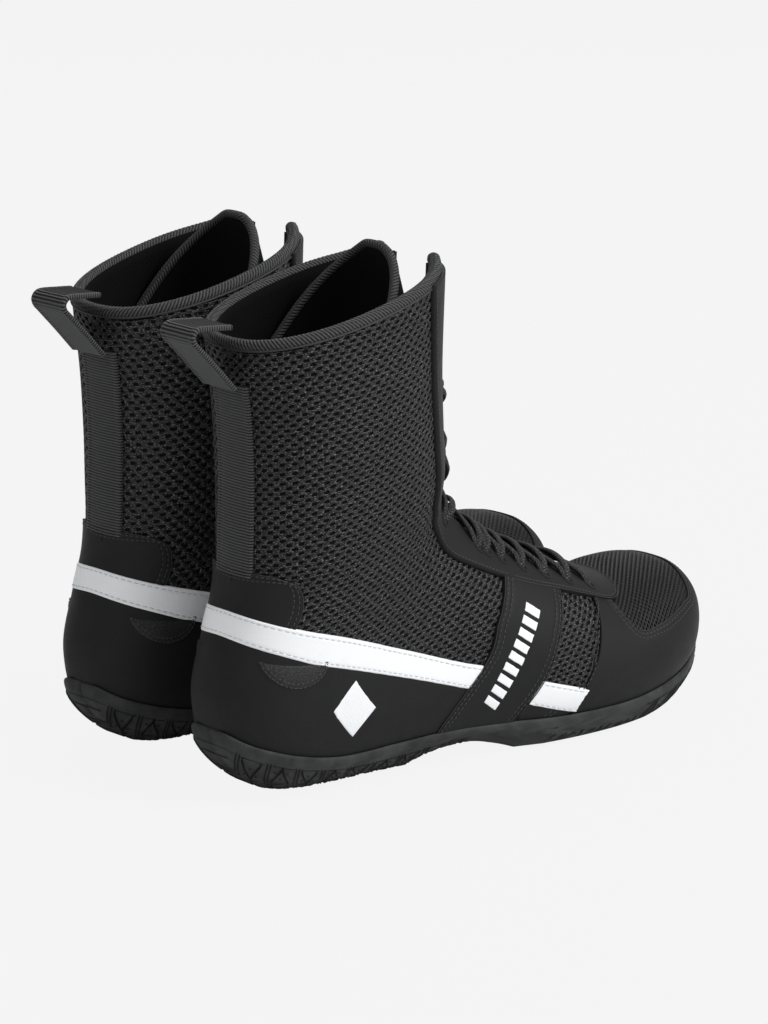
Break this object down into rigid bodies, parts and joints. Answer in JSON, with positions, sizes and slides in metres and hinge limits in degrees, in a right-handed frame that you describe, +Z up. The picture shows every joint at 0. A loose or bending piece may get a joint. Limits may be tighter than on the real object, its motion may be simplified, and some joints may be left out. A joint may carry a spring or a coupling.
{
  "type": "pair of boxing boots",
  "caption": "Pair of black lace-up boxing boots with mesh shafts, smooth heel and toe overlays, white side stripes, rear pull loops and thin cupped rubber soles.",
  "frame": {"origin": "on the floor, midway between the boots and midway from the pull loops to the toes", "axes": "+Z up, toes towards -Y, the wearer's left boot at +X"},
  "size_m": [0.2146, 0.3221, 0.2631],
  "materials": {
    "synthetic_leather": "matte, fine grain",
    "mesh": "open sports mesh with oval holes",
    "lining_knit": "brushed knit",
    "tongue_knit": "ribbed padded knit",
    "binding_knit": "diagonal ribbed knit",
    "webbing": "cross-ribbed webbing",
    "lace_cord": "braided cord",
    "white_trim": "smooth satin",
    "sole_rubber": "moulded, matte",
    "insole": "knit-covered foam",
    "stiffener": "pressed board"
  },
  "bodies": {
    "right_foot": {"right_outsole_rear": "sole_rubber", "right_heel_tread": "sole_rubber", "right_insole_rear": "insole", "right_heel_counter": "stiffener", "right_foot_lining": "lining_knit", "right_quarter_lateral": "mesh", "right_quarter_medial": "mesh", "right_foxing": "synthetic_leather", "right_stripe": "white_trim", "right_heel_tab": "synthetic_leather", "right_saddle_lateral": "synthetic_leather", "right_saddle_medial": "synthetic_leather", "right_vamp_flex": "mesh", "right_lower_eyestay": "synthetic_leather", "right_lower_tongue": "tongue_knit", "right_lower_lace": "lace_cord", "right_ankle_panel": "mesh"},
    "right_forefoot": {"right_outsole_front": "sole_rubber", "right_ball_tread": "sole_rubber", "right_insole_front": "insole", "right_toe_cap": "synthetic_leather", "right_toe_mesh": "mesh"},
    "right_shaft": {"right_shaft_mesh": "mesh", "right_shaft_lining": "lining_knit", "right_upper_eyestay": "synthetic_leather", "right_upper_tongue": "tongue_knit", "right_upper_lace": "lace_cord", "right_collar_binding": "binding_knit", "right_heel_strip": "webbing"},
    "right_pull_loop": {"right_pull_loop": "webbing"},
    "left_foot": {"left_outsole_rear": "sole_rubber", "left_heel_tread": "sole_rubber", "left_insole_rear": "insole", "left_heel_counter": "stiffener", "left_foot_lining": "lining_knit", "left_quarter_lateral": "mesh", "left_quarter_medial": "mesh", "left_foxing": "synthetic_leather", "left_stripe": "white_trim", "left_heel_tab": "synthetic_leather", "left_saddle_lateral": "synthetic_leather", "left_saddle_medial": "synthetic_leather", "left_vamp_flex": "mesh", "left_lower_eyestay": "synthetic_leather", "left_lower_tongue": "tongue_knit", "left_lower_lace": "lace_cord", "left_ankle_panel": "mesh"},
    "left_forefoot": {"left_outsole_front": "sole_rubber", "left_ball_tread": "sole_rubber", "left_insole_front": "insole", "left_toe_cap": "synthetic_leather", "left_toe_mesh": "mesh"},
    "left_shaft": {"left_shaft_mesh": "mesh", "left_shaft_lining": "lining_knit", "left_upper_eyestay": "synthetic_leather", "left_upper_tongue": "tongue_knit", "left_upper_lace": "lace_cord", "left_collar_binding": "binding_knit", "left_heel_strip": "webbing"},
    "left_pull_loop": {"left_pull_loop": "webbing"}
  },
  "joints": [
    {"name": "right_ball_flex", "type": "hinge", "parent": "right_foot", "child": "right_forefoot", "pos_m": [-0.05334, -0.05108, 0.016], "axis": [-0.9997, 0.0262, 0], "range_deg": [0, 25], "stiffness_Nm_per_rad": 6, "deforming": ["right_vamp_flex", "right_lower_eyestay", "right_lower_tongue", "right_lower_lace"]},
    {"name": "right_ankle_flex", "type": "hinge", "parent": "right_foot", "child": "right_shaft", "pos_m": [-0.05046, 0.05888, 0.114], "axis": [0.9997, -0.0262, 0], "range_deg": [-10, 18], "stiffness_Nm_per_rad": 4, "deforming": ["right_ankle_panel", "right_upper_eyestay", "right_upper_tongue", "right_upper_lace"]},
    {"name": "right_pull_loop_tilt", "type": "hinge", "parent": "right_shaft", "child": "right_pull_loop", "pos_m": [-0.04848, 0.13435, 0.216], "axis": [0.9997, -0.0262, 0], "range_deg": [-8, 8], "stiffness_Nm_per_rad": 0.05},
    {"name": "left_ball_flex", "type": "hinge", "parent": "left_foot", "child": "left_forefoot", "pos_m": [0.05334, -0.05108, 0.016], "axis": [-0.9997, -0.0262, 0], "range_deg": [0, 25], "stiffness_Nm_per_rad": 6, "deforming": ["left_vamp_flex", "left_lower_eyestay", "left_lower_tongue", "left_lower_lace"]},
    {"name": "left_ankle_flex", "type": "hinge", "parent": "left_foot", "child": "left_shaft", "pos_m": [0.05046, 0.05888, 0.114], "axis": [0.9997, 0.0262, 0], "range_deg": [-10, 18], "stiffness_Nm_per_rad": 4, "deforming": ["left_ankle_panel", "left_upper_eyestay", "left_upper_tongue", "left_upper_lace"]},
    {"name": "left_pull_loop_tilt", "type": "hinge", "parent": "left_shaft", "child": "left_pull_loop", "pos_m": [0.04848, 0.13435, 0.216], "axis": [0.9997, 0.0262, 0], "range_deg": [-8, 8], "stiffness_Nm_per_rad": 0.05},
    {"name": "pair_spacing", "type": "slide", "parent": "right_foot", "child": "left_foot", "axis": [1, 0, 0], "range_m": [0, 0.25]}
  ]
}
